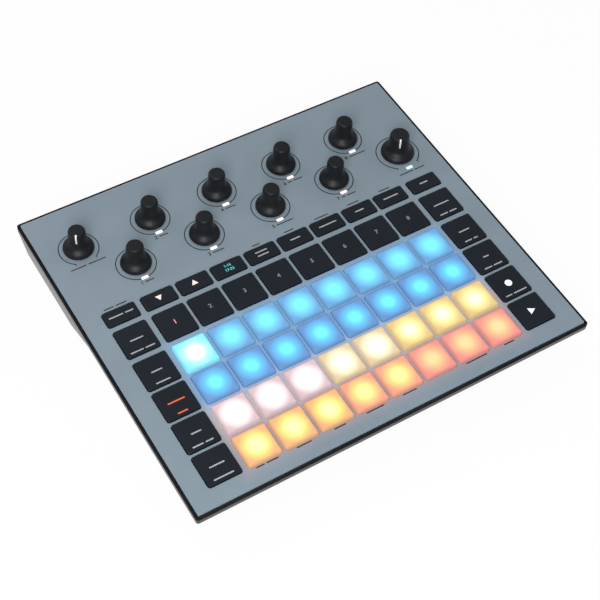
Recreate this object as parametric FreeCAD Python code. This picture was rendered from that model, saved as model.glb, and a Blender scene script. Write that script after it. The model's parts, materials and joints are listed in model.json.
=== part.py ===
"""Table-top grid drum machine: a tray with a faceplate, lit pads, keys, knobs, sockets and the parts inside.

Millimetres, +X to the player's right, +Y to the back, +Z up. The origin is on the table, under the middle of the case.
"""
import FreeCAD
import Part
import math
import os

V = FreeCAD.Vector

# Case
CASE_W = 240.0
CASE_D = 210.0
FACE_Z = 29.0  # face of the faceplate above the table
CASE_CORNER_R = 1.6
BASE_Z = 2.5  # underside of the floor above the table
RIM_H = 5.0
RIM_DROP = 0.3  # the rim's top lies this far below the face
RIM_BEVEL = 0.5
WALL = 2.2
FLOOR = 2.0
FRONT_UNDERCUT = 14.0
SIDE_UNDERCUT = 11.0
REAR_SETBACK = 0.6
SHOULDER_UNDERCUT = 3.3
SHOULDER_TOP_REACH = 92.0  # from the case's back edge
SHOULDER_BASE_REACH = 60.0

# Faceplate
RIM_EDGE = 1.1  # width of rim and groove seen round the faceplate
FACE_GAP = 0.15
FACE_T = 2.0
FACE_BEVEL = 0.3
BOSS = 4.0
BOSS_FRONT_INSET = 30.0
BOSS_BACK_INSET = 35.0

# Keys
SIDE_MARGIN = 13.375  # from the case's side to the side keys
SMALL_KEY_D = 9.8
KEY_GAP = 2.25
GROUP_GAP = 3.75
PAD_COLS = 8
PAD_ROWS = 4
GRID_MARGIN = 12.1  # from the case's front edge to the first row
KEY_BEVEL = 0.35
KEY_CLEAR = 0.3
PAD_RISE = 1.4
KEY_RISE = 1.0
KEY_TRAVEL = 0.8
PRESS_GAP = 0.15
KEY_BASE_LIP = 0.6
KEY_BASE_GAP = 0.2

# Knobs
KNOB_ROOM = 22.45  # from the small keys to the front row's axes
KNOB_ROW_GAP = 24.4
KNOB_MARGIN = 32.0  # from the case's back edge to the rear row
KNOB_H = 16.0  # above the face
KNOB_GAP = 0.4
SKIRT_R = 8.7
SKIRT_EDGE = 1.3
CAP_R = 4.95
FILTER_SKIRT_R = 9.9
FILTER_CAP_R = 5.85
NECK_H = 7.4
WAIST_H = 4.5
WAIST_SHARE = 0.33  # of the way from cap to skirt
SHAFT_R = 3.0
SHAFT_CLEAR = 0.5
SHAFT_SEAT = 0.3
ENCODER_W = 12.4
ENCODER_D = 13.2
ENCODER_H = 6.5
POT_W = 9.8
POT_D = 11.4
POT_H = 6.8

# Lights in front of the knobs
LIGHT_OFFSET = 10.7
FILTER_LIGHT_OFFSET = 12.9
LIGHT_W = 4.2
LIGHT_D = 2.0
LIGHT_CLEAR = 0.1

# Circuit board and switch membrane
BOARD_TOP_Z = 18.5
BOARD_T = 1.6
BOARD_INSET_X = 8.0
BOARD_INSET_FRONT = 9.0
BOARD_INSET_BACK = 7.0
MEMBRANE_T = 0.8
MEMBRANE_EDGE = 1.0

# Battery, supports and feet
BATTERY = (90.0, 60.0, 8.5)
BATTERY_REACH = 65.0  # from the case's front edge to the battery's middle
BATTERY_CLEAR = 0.4
RIB_T = 1.6
RIB_H = 5.0
POST = 5.0
POST_SIDE_INSET = 58.0
POST_FRONT_INSET = 23.0
POST_BACK_INSET = 75.0
FOOT_W = 22.0
FOOT_D = 10.0
FOOT_CORNER = 1.5
FOOT_SIDE_INSET = 28.0
FOOT_FRONT_INSET = 23.0
FOOT_BACK_INSET = 11.0

# Sockets in the back wall, by their places from left to right as shares of the case's width
PHONES_X = CASE_W * -104 / 240
JACK_XS = [CASE_W * x / 240 for x in (-88, -70, -52, -34)]
SYNC_X = CASE_W * -18 / 240
DIN_XS = [CASE_W * x / 240 for x in (2, 24, 46)]
CARD_X = CASE_W * 69 / 240
USB_X = CASE_W * 86 / 240
POWER_X = CASE_W * 101 / 240
LOCK_X = CASE_W * 112.5 / 240
JACK_BODY = (16.0, 28.5, 11.9)
JACK_MOUTH_R = 4.6
JACK_BORE_R = 3.25
JACK_BORE_L = 27.0
MINI_BODY = (8.0, 12.5, 6.8)
MINI_MOUTH_R = 2.9
MINI_BORE_R = 1.8
MINI_BORE_L = 11.5
DIN_BODY = (19.4, 13.0, 18.6)
DIN_MOUTH_R = 7.9
DIN_RING_R = 7.1
DIN_CORE_R = 6.0
DIN_RING_DEPTH = 7.0
FACE_SINK = 0.2
SOCKET_CLEAR = 0.2
USB_SHELL = (9.0, 10.2, 3.2)
USB_WALL = 0.35
USB_CORNER = 0.9
USB_DEPTH = 6.2
USB_TONGUE = (6.7, 5.0, 0.7)
CARD_BODY = (15.4, 15.0, 2.4)
CARD_SLOT = (11.4, 11.0, 1.0)
CARD_WINDOW = (12.4, 2.0)
BUTTON = (8.0, 4.0)
BUTTON_CORNER = 0.8
BUTTON_PROUD = 0.4
BUTTON_TRAVEL = 0.5
BUTTON_FLANGE = 1.0
STEM = 2.4
SWITCH = (6.0, 5.0, 3.5)
LOCK_SLOT = (7.0, 3.0)
LOCK_Z = 11.5

# Levels and places that follow
RIM_Z = FACE_Z - RIM_H
RIM_TOP_Z = FACE_Z - RIM_DROP
LEDGE_Z = FACE_Z - FACE_T
FLOOR_Z = BASE_Z + FLOOR
BOARD_Z = BOARD_TOP_Z - BOARD_T
MEMBRANE_Z = BOARD_TOP_Z + MEMBRANE_T
BOARD_EDGE_X = CASE_W / 2 - BOARD_INSET_X
KEY_W = (CASE_W - 2 * (SIDE_MARGIN + GROUP_GAP) - (PAD_COLS - 1) * KEY_GAP) / (PAD_COLS + 2)
KEYS_D = CASE_D - GRID_MARGIN - SMALL_KEY_D - KNOB_ROOM - KNOB_ROW_GAP - KNOB_MARGIN
KEY_D = (KEYS_D - 2 * GROUP_GAP - (PAD_ROWS - 1) * KEY_GAP) / (PAD_ROWS + 1)
PITCH_X = KEY_W + KEY_GAP
PITCH_Y = KEY_D + KEY_GAP
FRONT_Y = -CASE_D / 2
BACK_Y = CASE_D / 2
SHOULDER_TOP_Y = BACK_Y - SHOULDER_TOP_REACH
SHOULDER_BASE_Y = BACK_Y - SHOULDER_BASE_REACH
BATTERY_Y = FRONT_Y + BATTERY_REACH
REAR_FACE_Y = BACK_Y - REAR_SETBACK
REAR_INNER_Y = REAR_FACE_Y - WALL
JACK_Z = BOARD_Z - JACK_BODY[2] / 2
MINI_Z = BOARD_Z - MINI_BODY[2] / 2
DIN_Z = FLOOR_Z + DIN_BODY[2] / 2
USB_Z = BOARD_Z - USB_SHELL[2] / 2
CARD_Z = BOARD_Z - CARD_BODY[2] / 2
SWITCH_Z = BOARD_Z - SWITCH[2] / 2
SWITCH_FACE_Y = REAR_INNER_Y - WALL - BUTTON_TRAVEL
PAD_XS = [(i - (PAD_COLS - 1) / 2) * PITCH_X for i in range(PAD_COLS)]
SIDE_X = PAD_XS[-1] + KEY_W + GROUP_GAP
PAD_YS = [FRONT_Y + GRID_MARGIN + KEY_D / 2 + i * PITCH_Y for i in reversed(range(PAD_ROWS))]
TRACK_Y = PAD_YS[0] + KEY_D + GROUP_GAP
SMALL_Y = TRACK_Y + KEY_D / 2 + GROUP_GAP + SMALL_KEY_D / 2
REAR_KNOB_Y = BACK_Y - KNOB_MARGIN
FRONT_KNOB_Y = REAR_KNOB_Y - KNOB_ROW_GAP
ENCODERS = [(x, FRONT_KNOB_Y if i % 2 == 0 else REAR_KNOB_Y) for i, x in enumerate(PAD_XS)]
VOLUME = (-SIDE_X, REAR_KNOB_Y)
FILTER = (SIDE_X, FRONT_KNOB_Y)
LIGHTS = [(x, y - LIGHT_OFFSET) for x, y in ENCODERS] + [(FILTER[0], FILTER[1] - FILTER_LIGHT_OFFSET)]
FOOT_X = CASE_W / 2 - FOOT_SIDE_INSET
FOOT_YS = (FRONT_Y + FOOT_FRONT_INSET, BACK_Y - FOOT_BACK_INSET)
FEET = [(side * FOOT_X, y) for side in (-1, 1) for y in FOOT_YS]
POST_X = CASE_W / 2 - POST_SIDE_INSET
POST_YS = (FRONT_Y + POST_FRONT_INSET, BACK_Y - POST_BACK_INSET)
POSTS = [(side * POST_X, y) for side in (-1, 1) for y in POST_YS]
BOSS_X = BOARD_EDGE_X - BOSS / 2
BOSS_YS = (FRONT_Y + BOSS_FRONT_INSET, 0, BACK_Y - BOSS_BACK_INSET)
BOSSES = [(side * BOSS_X, y) for side in (-1, 1) for y in BOSS_YS]


def box(x0, x1, y0, y1, z0, z1):
    """A block between two corners."""
    return Part.makeBox(x1 - x0, y1 - y0, z1 - z0, V(x0, y0, z0))


def slab(x, y, w, d, z0, z1):
    """A block centred on (x, y) between two levels."""
    return box(x - w / 2, x + w / 2, y - d / 2, y + d / 2, z0, z1)


def block(size, x, back_y, z):
    """A block of a given width, length and height, centred on x and z, that ends at back_y."""
    w, length, h = size
    return box(x - w / 2, x + w / 2, back_y - length, back_y, z - h / 2, z + h / 2)


def rear_rod(x, z, y0, y1, r):
    """A cylinder along Y."""
    return Part.makeCylinder(r, y1 - y0, V(x, y0, z), V(0, 1, 0))


def round_outline(x0, x1, y0, y1, r, z):
    """A rectangle with round corners, as a wire at height z."""
    d = r * (1 - math.sqrt(0.5))
    corners = [
        (V(x1 - r, y0, z), V(x1 - d, y0 + d, z), V(x1, y0 + r, z)),
        (V(x1, y1 - r, z), V(x1 - d, y1 - d, z), V(x1 - r, y1, z)),
        (V(x0 + r, y1, z), V(x0 + d, y1 - d, z), V(x0, y1 - r, z)),
        (V(x0, y0 + r, z), V(x0 + d, y0 + d, z), V(x0 + r, y0, z)),
    ]
    edges = []
    for i, (start, middle, end) in enumerate(corners):
        edges.append(Part.Arc(start, middle, end).toShape())
        edges.append(Part.LineSegment(end, corners[(i + 1) % 4][0]).toShape())
    return Part.Wire(edges)


def square_outline(x0, x1, y0, y1, z):
    """A rectangle with sharp corners, as a wire at height z."""
    ring = [V(x0, y0, z), V(x1, y0, z), V(x1, y1, z), V(x0, y1, z)]
    return Part.makePolygon(ring + ring[:1])


def clipped_outline(w, d, leg):
    """A rectangle about the origin with each corner clipped at 45 degrees, as a wire at height 0."""
    a, b = w / 2, d / 2
    points = [(a - leg, -b), (a, -b + leg), (a, b - leg), (a - leg, b)]
    points += [(-a + leg, b), (-a, b - leg), (-a, -b + leg), (-a + leg, -b)]
    ring = [V(x, y, 0) for x, y in points]
    return Part.makePolygon(ring + ring[:1])


def prism(wires, height):
    """A plate over an outer wire, less the holes inside it."""
    return Part.Face(wires).extrude(V(0, 0, height))


def rear_prism(w, h, leg, x, z, y0, y1):
    """A clipped rectangle seen from behind, extruded along Y."""
    shape = prism([clipped_outline(w, h, leg)], y1 - y0)
    shape.rotate(V(0, 0, 0), V(1, 0, 0), 90)
    shape.translate(V(x, y1, z))
    return shape


def edges_at(shape, z):
    """The edges that lie at height z."""
    return [e for e in shape.Edges if all(abs(v.Z - z) < 1e-6 for v in e.Vertexes)]


def fused(shapes):
    """One solid from shapes that meet."""
    return shapes[0].fuse(shapes[1:]).removeSplitter()


# Keys
def key_places():
    """Every dark key's centre and depth, by the group that it belongs to."""
    rows = [TRACK_Y] + PAD_YS
    return {
        "function_keys": [(x, SMALL_Y, SMALL_KEY_D) for x in [-SIDE_X] + PAD_XS + [SIDE_X]],
        "track_keys": [(x, TRACK_Y, KEY_D) for x in PAD_XS],
        "left_keys": [(-SIDE_X, y, KEY_D) for y in rows],
        "right_keys": [(SIDE_X, y, KEY_D) for y in rows],
    }


def key(x, y, depth, rise):
    """A silicone key: a bevelled top that stands in its window, on a wider base under the faceplate."""
    base_top = LEDGE_Z - KEY_BASE_GAP
    top_z = FACE_Z + rise
    top = slab(x, y, KEY_W, depth, base_top, top_z)
    top = top.makeChamfer(KEY_BEVEL, edges_at(top, top_z))
    lip = 2 * KEY_BASE_LIP
    base = slab(x, y, KEY_W + lip, depth + lip, MEMBRANE_Z + KEY_TRAVEL + PRESS_GAP, base_top)
    return fused([top, base])


# Knobs
def knob(x, y, skirt_r, cap_r, control_h):
    """A turned rubber knob, slim cap over a flared skirt, with the shaft that it is moulded on."""
    z = FACE_Z
    shaft_end = BOARD_TOP_Z + control_h + SHAFT_SEAT
    profile = [
        (0, shaft_end),
        (SHAFT_R, shaft_end),
        (SHAFT_R, z + KNOB_GAP),
        (skirt_r, z + KNOB_GAP),
        (skirt_r, z + KNOB_GAP + SKIRT_EDGE),
        (cap_r + WAIST_SHARE * (skirt_r - cap_r), z + WAIST_H),
        (cap_r, z + NECK_H),
        (cap_r, z + KNOB_H),
        (0, z + KNOB_H),
    ]
    points = [V(r, 0, level) for r, level in profile]
    turned = Part.Face(Part.makePolygon(points + points[:1])).revolve(V(0, 0, 0), V(0, 0, 1), 360)
    turned.translate(V(x, y, 0))
    return turned


# Case
def taper(z):
    """How far down the undercut a level lies: 0 at the rim's underside, 1 at the base."""
    return (RIM_Z - z) / (RIM_Z - BASE_Z)


def tray_span(z, wall):
    """The tray's extent at a level, drawn in by the wall."""
    half = CASE_W / 2 - SIDE_UNDERCUT * taper(z) - wall
    return -half, half, FRONT_Y + FRONT_UNDERCUT * taper(z) + wall, REAR_FACE_Y - wall


def shoulder_span(z, wall):
    """The extent of the deeper rear shoulder that holds the sockets."""
    half = CASE_W / 2 - SHOULDER_UNDERCUT * taper(z) - wall
    front = SHOULDER_TOP_Y + (SHOULDER_BASE_Y - SHOULDER_TOP_Y) * taper(z) + wall
    return -half, half, front, REAR_FACE_Y - wall


def tub():
    """The undercut body below the rim."""
    lofts = []
    for span in (tray_span, shoulder_span):
        wires = [round_outline(*span(z, 0), CASE_CORNER_R, z) for z in (BASE_Z, RIM_Z)]
        lofts.append(Part.makeLoft(wires, True, True))
    return fused(lofts)


def tub_cavity():
    """The space inside the undercut body."""
    lofts = []
    for span in (tray_span, shoulder_span):
        wires = [square_outline(*span(z, WALL), z) for z in (FLOOR_Z, RIM_Z)]
        lofts.append(Part.makeLoft(wires, True, True))
    return fused(lofts)


def rim_slab():
    """The outer rim that stands round the faceplate."""
    half_w, half_d = CASE_W / 2, CASE_D / 2
    rim = prism([round_outline(-half_w, half_w, -half_d, half_d, CASE_CORNER_R, RIM_Z)], RIM_TOP_Z - RIM_Z)
    return rim.makeChamfer(RIM_BEVEL, edges_at(rim, RIM_TOP_Z))


def face_blank(gap, z1):
    """The faceplate's block from the ledge to a level, let out by a gap."""
    w = CASE_W - 2 * (RIM_EDGE - gap)
    d = CASE_D - 2 * (RIM_EDGE - gap)
    return slab(0, 0, w, d, LEDGE_Z, z1)


def rear_cuts():
    """The openings in the back wall, one for each socket, the button and the lock."""
    y0 = REAR_INNER_Y - WALL
    cuts = [rear_rod(x, JACK_Z, y0, BACK_Y, JACK_MOUTH_R) for x in JACK_XS]
    cuts += [rear_rod(x, MINI_Z, y0, BACK_Y, MINI_MOUTH_R) for x in (PHONES_X, SYNC_X)]
    cuts += [rear_rod(x, DIN_Z, y0, BACK_Y, DIN_MOUTH_R) for x in DIN_XS]
    gap = 2 * SOCKET_CLEAR
    cuts.append(rear_prism(USB_SHELL[0] + gap, USB_SHELL[2] + gap, USB_CORNER, USB_X, USB_Z, y0, BACK_Y))
    cuts.append(rear_prism(BUTTON[0] + gap, BUTTON[1] + gap, BUTTON_CORNER, POWER_X, SWITCH_Z, y0, BACK_Y))
    for (w, h), x, z in ((CARD_WINDOW, CARD_X, CARD_Z), (LOCK_SLOT, LOCK_X, LOCK_Z)):
        cuts.append(box(x - w / 2, x + w / 2, y0, BACK_Y, z - h / 2, z + h / 2))
    return cuts


def lower_case():
    """The tray: rim, undercut walls, rear shoulder, ledge for the faceplate, battery ribs and board posts."""
    shell = fused([rim_slab(), tub()])
    cavity = prism([square_outline(*tray_span(RIM_Z, WALL), RIM_Z)], LEDGE_Z - RIM_Z)
    shell = shell.cut([tub_cavity(), cavity, face_blank(FACE_GAP, RIM_TOP_Z)] + rear_cuts())
    bay_w = BATTERY[0] + 2 * BATTERY_CLEAR
    bay_d = BATTERY[1] + 2 * BATTERY_CLEAR
    rib = 2 * RIB_T
    fence = slab(0, BATTERY_Y, bay_w + rib, bay_d + rib, FLOOR_Z, FLOOR_Z + RIB_H)
    fence = fence.cut(slab(0, BATTERY_Y, bay_w, bay_d, FLOOR_Z, FLOOR_Z + RIB_H))
    posts = [slab(x, y, POST, POST, FLOOR_Z, BOARD_Z) for x, y in POSTS]
    return fused([shell, fence] + posts)


def top_panel():
    """The faceplate, with a window for each key and light, a hole for each shaft and bosses onto the board."""
    grow = 2 * KEY_CLEAR
    keys = [place for group in key_places().values() for place in group]
    keys += [(x, y, KEY_D) for x in PAD_XS for y in PAD_YS]
    holes = [slab(x, y, KEY_W + grow, d + grow, LEDGE_Z, FACE_Z) for x, y, d in keys]
    holes += [slab(x, y, LIGHT_W, LIGHT_D, LEDGE_Z, FACE_Z) for x, y in LIGHTS]
    hole_r = SHAFT_R + SHAFT_CLEAR
    holes += [Part.makeCylinder(hole_r, FACE_T, V(x, y, LEDGE_Z)) for x, y in ENCODERS + [VOLUME, FILTER]]
    blank = face_blank(0, FACE_Z)
    plate = blank.makeChamfer(FACE_BEVEL, edges_at(blank, FACE_Z)).cut(holes)
    bosses = [slab(x, y, BOSS, BOSS, BOARD_TOP_Z, LEDGE_Z) for x, y in BOSSES]
    return fused([plate] + bosses)


# Inside
def board():
    """The main circuit board, with a notch round the tall sockets, and the larger parts on its underside."""
    y_front = FRONT_Y + BOARD_INSET_FRONT
    y_back = BACK_Y - BOARD_INSET_BACK
    plate = box(-BOARD_EDGE_X, BOARD_EDGE_X, y_front, y_back, BOARD_Z, BOARD_TOP_Z)
    clear = DIN_BODY[0] / 2 + SOCKET_CLEAR
    notch_y = REAR_INNER_Y - DIN_BODY[1] - SOCKET_CLEAR
    plate = plate.cut(box(DIN_XS[0] - clear, DIN_XS[-1] + clear, notch_y, BACK_Y, BOARD_Z, BOARD_TOP_Z))
    chips = [((16.0, 16.0, 1.5), 14.0, 20.0), ((11.0, 13.0, 1.2), 34.0, 18.0), ((8.0, 8.0, 1.0), -12.0, 24.0)]
    parts = [slab(x, y, w, d, BOARD_Z - h, BOARD_Z) for (w, d, h), x, y in chips]
    return Part.makeCompound([plate, block(SWITCH, POWER_X, SWITCH_FACE_Y, SWITCH_Z)] + parts)


def membrane():
    """The switch membrane: one sheet on the board under every key."""
    x_edge = SIDE_X + KEY_W / 2 + MEMBRANE_EDGE
    y_front = PAD_YS[-1] - KEY_D / 2 - MEMBRANE_EDGE
    y_back = SMALL_Y + SMALL_KEY_D / 2 + MEMBRANE_EDGE
    return box(-x_edge, x_edge, y_front, y_back, BOARD_TOP_Z, MEMBRANE_Z)


def control(x, y, w, d, h):
    """A rotary control's body on the board."""
    return slab(x, y, w, d, BOARD_TOP_Z, BOARD_TOP_Z + h)


# Sockets
def jack_socket(x, z, body, bore_r, bore_l):
    """A jack socket: a block behind the wall with a blind bore."""
    return block(body, x, REAR_INNER_Y, z).cut(rear_rod(x, z, REAR_INNER_Y - bore_l, REAR_INNER_Y, bore_r))


def din_socket(x):
    """A five-pin round socket: a block with the ring groove round its core."""
    groove_y = REAR_INNER_Y - DIN_RING_DEPTH
    groove = rear_rod(x, DIN_Z, groove_y, REAR_INNER_Y, DIN_RING_R)
    core = rear_rod(x, DIN_Z, groove_y, REAR_INNER_Y, DIN_CORE_R)
    return block(DIN_BODY, x, REAR_INNER_Y, DIN_Z).cut(groove.cut(core))


def usb_socket():
    """A small flat socket: a clipped shell with a tongue inside."""
    w, length, h = USB_SHELL
    face_y = REAR_FACE_Y - FACE_SINK
    shell = rear_prism(w, h, USB_CORNER, USB_X, USB_Z, face_y - length, face_y)
    bore = 2 * USB_WALL
    mouth = rear_prism(w - bore, h - bore, USB_CORNER - USB_WALL / 2, USB_X, USB_Z, face_y - USB_DEPTH, face_y)
    tongue = block(USB_TONGUE, USB_X, face_y - USB_DEPTH + USB_TONGUE[1], USB_Z)
    return fused([shell.cut(mouth), tongue])


def card_socket():
    """A memory card slot under the board, behind a window in the wall."""
    back_y = REAR_INNER_Y - SOCKET_CLEAR
    return block(CARD_BODY, CARD_X, back_y, CARD_Z).cut(block(CARD_SLOT, CARD_X, back_y, CARD_Z))


def power_button():
    """The power button: a cap in the wall, a flange behind it and a stem to the switch."""
    w, h = BUTTON
    low_y = REAR_INNER_Y - SOCKET_CLEAR - BUTTON_FLANGE
    cap = rear_prism(w, h, BUTTON_CORNER, POWER_X, SWITCH_Z, low_y + BUTTON_FLANGE, REAR_FACE_Y + BUTTON_PROUD)
    grow = 2 * BUTTON_FLANGE
    flange = block((w + grow, BUTTON_FLANGE, h + grow), POWER_X, low_y + BUTTON_FLANGE, SWITCH_Z)
    stem_l = low_y - SWITCH_FACE_Y - BUTTON_TRAVEL - PRESS_GAP
    return fused([cap, flange, block((STEM, stem_l, STEM), POWER_X, low_y, SWITCH_Z)])


def write(name, shape):
    """Write one node."""
    shape.exportStep(os.path.join("parts", name + ".step"))


def main():
    os.makedirs("parts", exist_ok=True)
    write("lower_case", lower_case())
    write("top_panel", top_panel())
    for row, y in enumerate(PAD_YS, 1):
        for col, x in enumerate(PAD_XS, 1):
            write(f"pad_row{row}_col{col}", key(x, y, KEY_D, PAD_RISE))
    for name, places in key_places().items():
        write(name, Part.makeCompound([key(x, y, d, KEY_RISE) for x, y, d in places]))
    for number, (x, y) in enumerate(ENCODERS, 1):
        write(f"encoder_knob_{number}", knob(x, y, SKIRT_R, CAP_R, ENCODER_H))
    write("volume_knob", knob(*VOLUME, SKIRT_R, CAP_R, POT_H))
    write("filter_knob", knob(*FILTER, FILTER_SKIRT_R, FILTER_CAP_R, POT_H))
    encoders = [control(x, y, ENCODER_W, ENCODER_D, ENCODER_H) for x, y in ENCODERS]
    write("rotary_encoders", Part.makeCompound(encoders))
    write("potentiometers", Part.makeCompound([control(x, y, POT_W, POT_D, POT_H) for x, y in (VOLUME, FILTER)]))
    gap = 2 * LIGHT_CLEAR
    pipes = [slab(x, y, LIGHT_W - gap, LIGHT_D - gap, BOARD_TOP_Z, FACE_Z) for x, y in LIGHTS]
    write("knob_light_pipes", Part.makeCompound(pipes))
    write("main_circuit_board", board())
    write("switch_membrane", membrane())
    write("battery_pack", slab(0, BATTERY_Y, BATTERY[0], BATTERY[1], FLOOR_Z, FLOOR_Z + BATTERY[2]))
    jacks = [jack_socket(x, JACK_Z, JACK_BODY, JACK_BORE_R, JACK_BORE_L) for x in JACK_XS]
    jacks += [jack_socket(x, MINI_Z, MINI_BODY, MINI_BORE_R, MINI_BORE_L) for x in (PHONES_X, SYNC_X)]
    write("audio_sockets", Part.makeCompound(jacks))
    write("din_sockets", Part.makeCompound([din_socket(x) for x in DIN_XS]))
    write("usb_socket", usb_socket())
    write("card_socket", card_socket())
    write("power_button", power_button())
    foot = prism([clipped_outline(FOOT_W, FOOT_D, FOOT_CORNER)], BASE_Z)
    write("rubber_feet", Part.makeCompound([foot.translated(V(x, y, 0)) for x, y in FEET]))


main()
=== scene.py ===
"""Looks of a table-top grid drum machine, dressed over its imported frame.

Every length in this file that isn't marked otherwise is in millimetres and becomes metres at the mesh.
"""
import json
import logging
import math
from dataclasses import dataclass, field
from enum import Enum

import bmesh
import bpy
from mathutils import Matrix, Vector

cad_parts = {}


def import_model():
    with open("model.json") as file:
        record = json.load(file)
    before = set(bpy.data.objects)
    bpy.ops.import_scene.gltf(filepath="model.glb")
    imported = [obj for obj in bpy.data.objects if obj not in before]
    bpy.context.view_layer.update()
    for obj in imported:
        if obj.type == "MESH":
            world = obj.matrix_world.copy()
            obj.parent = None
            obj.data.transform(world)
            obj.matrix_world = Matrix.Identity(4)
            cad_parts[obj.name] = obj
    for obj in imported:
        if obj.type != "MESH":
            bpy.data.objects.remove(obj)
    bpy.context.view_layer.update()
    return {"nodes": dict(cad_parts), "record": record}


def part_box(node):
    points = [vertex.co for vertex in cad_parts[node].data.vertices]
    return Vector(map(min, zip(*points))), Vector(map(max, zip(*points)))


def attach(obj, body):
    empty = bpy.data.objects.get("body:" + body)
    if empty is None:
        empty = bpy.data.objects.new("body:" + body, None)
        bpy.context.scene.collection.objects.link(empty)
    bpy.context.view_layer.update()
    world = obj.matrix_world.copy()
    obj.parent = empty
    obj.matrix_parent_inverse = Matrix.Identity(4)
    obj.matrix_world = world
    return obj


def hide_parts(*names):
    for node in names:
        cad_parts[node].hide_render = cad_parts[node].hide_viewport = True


LOG = logging.getLogger("drum_machine")
MM = 0.001
Colour = tuple[float, float, float]
Point = tuple[float, float]
Bar = tuple[float, float, float]

IMAGE_SIDE = 600
SENSOR_WIDTH = 36.0
FOCAL_PIXELS = 1381.9
CAMERA_PLACE = Vector((-0.26254, -0.38235, 0.62637))
CAMERA_RIGHT = Vector((0.85601, -0.51471, 0.04823))
CAMERA_UP = Vector((0.38889, 0.70260, 0.59592))

CASE_BODY = "case"
PAD_ROWS = 4
PAD_COLS = 8
ENCODERS = 8
KEY_LIP = 0.6
KEY_CORNER = 1.2
PRINT_LIFT = 0.02
FACE_THICKNESS = 2.0
BROAD_WIDTH = 1.5
LEVEL_COSINE = 0.9999
MERGE_METRES = 1e-6
MODE_NAMES = ("mode", "operation", "interpolation_type")
ORIGIN = Vector((0, 0, 0))
EVEN = Vector((1, 1, 1))
SIDE_LEGENDS = {
    "left_keys": (((7.6,), (7.6, 5.6)), ((6.4,), (8.4,)), ((9.8,), (5.8,)), ((6.0,), (6.4, 4.6)),
                  ((8.8,), (11.2,))),
    "right_keys": (((10.2,), (5.2, 5.0)), ((7.2,), (4.8, 3.0)), ((3.8,), (5.0, 5.8)), ((), (4.4, 8.6)),
                   ((), ())),
}
# Colours of the painted glow that the pads' light casts on the faceplate, from the front row of pads to the back.
PAINTED_PAD_SPILL = ((0.02, (0.12, 0.03, 0.02)), (0.28, (0.32, 0.16, 0.12)), (0.46, (0.20, 0.19, 0.26)),
         (0.60, (0.01, 0.10, 0.28)), (0.95, (0.01, 0.09, 0.22)))


class PadLight(Enum):
    """The light under a pad: its colour at the core, half way out and at the edge, and how wide the core is."""

    ICE = ((1.0, 1.0, 1.0), (0.45, 1.0, 1.0), (0.16, 0.74, 0.95), 0.20)
    SKY = ((0.14, 0.90, 1.0), (0.10, 0.64, 1.0), (0.06, 0.28, 0.58), 0.10)
    AZURE = ((0.10, 0.90, 1.0), (0.05, 0.52, 0.98), (0.04, 0.21, 0.52), 0.09)
    BLUSH = ((1.0, 1.0, 1.0), (1.0, 0.90, 0.90), (0.60, 0.42, 0.45), 0.16)
    CREAM = ((1.0, 1.0, 0.90), (1.0, 0.93, 0.62), (0.66, 0.50, 0.26), 0.14)
    LEMON = ((1.0, 1.0, 0.72), (1.0, 0.85, 0.27), (0.68, 0.46, 0.15), 0.12)
    AMBER = ((1.0, 1.0, 0.42), (1.0, 0.78, 0.14), (0.80, 0.36, 0.11), 0.14)
    PEACH = ((0.95, 0.98, 0.28), (0.98, 0.66, 0.15), (0.82, 0.27, 0.14), 0.12)
    CORAL = ((0.80, 0.68, 0.27), (0.88, 0.46, 0.18), (0.76, 0.20, 0.16), 0.10)


PAD_LIGHTS = (
    (PadLight.ICE,) + (PadLight.SKY,) * 7,
    (PadLight.AZURE,) * 8,
    (PadLight.BLUSH,) * 3 + (PadLight.CREAM,) * 2 + (PadLight.LEMON,) * 3,
    (PadLight.AMBER,) * 3 + (PadLight.PEACH,) * 2 + (PadLight.CORAL,) * 3,
)


# Node trees
class NodeGraph:
    """A node tree and short calls that add to it."""

    def __init__(self, tree: bpy.types.NodeTree) -> None:
        """Keep the tree."""
        self.tree = tree

    def join(self, source: bpy.types.NodeSocket, target: bpy.types.NodeSocket) -> None:
        """Link two sockets."""
        self.tree.links.new(source, target)

    def feed(self, socket: bpy.types.NodeSocket, value: object) -> None:
        """Link a socket to another one, or set its own value.

        Args:
            socket: The socket that takes it.
            value: A socket to link, or a plain value.
        """
        if isinstance(value, bpy.types.NodeSocket):
            self.join(value, socket)
        else:
            socket.default_value = value

    def add(self, kind: str, mode: str = "", **links: object) -> bpy.types.Node:
        """A node with its inputs linked or set.

        Args:
            kind: The node's type.
            mode: The node's mode or operation, where it isn't the first.
            links: Each input's name with underscores for spaces, and a socket or a value.

        Returns:
            The node.
        """
        node = self.tree.nodes.new(kind)
        if mode:
            setattr(node, next(name for name in MODE_NAMES if hasattr(node, name)), mode)
        for name, value in links.items():
            self.feed(node.inputs[name.replace("_", " ")], value)
        return node

    def number(self, operation: str, first: object, second: object = 0.0) -> bpy.types.NodeSocket:
        """The result of a sum on two numbers or sockets.

        Args:
            operation: The sum's name.
            first: Its first number or socket.
            second: Its second one.

        Returns:
            The result's socket.
        """
        node = self.add("ShaderNodeMath", operation)
        for socket, value in zip(node.inputs, (first, second)):
            self.feed(socket, value)
        return node.outputs[0]

    def parts(self, vector: bpy.types.NodeSocket) -> bpy.types.NodeOutputs:
        """A vector's X, Y and Z sockets."""
        return self.add("ShaderNodeSeparateXYZ", Vector=vector).outputs

    def fade(self, value: bpy.types.NodeSocket, start: float, end: float, low: float, high: float,
             curve: str = "SMOOTHSTEP") -> bpy.types.NodeSocket:
        """A step between two levels.

        Args:
            value: The socket that is followed.
            start: Where the step starts.
            end: Where the step ends.
            low: The level before it.
            high: The level after it.
            curve: The step's form.

        Returns:
            The level's socket.
        """
        step = self.add("ShaderNodeMapRange", curve, Value=value, From_Min=start, From_Max=end, To_Min=low,
                        To_Max=high)
        return step.outputs[0]


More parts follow.
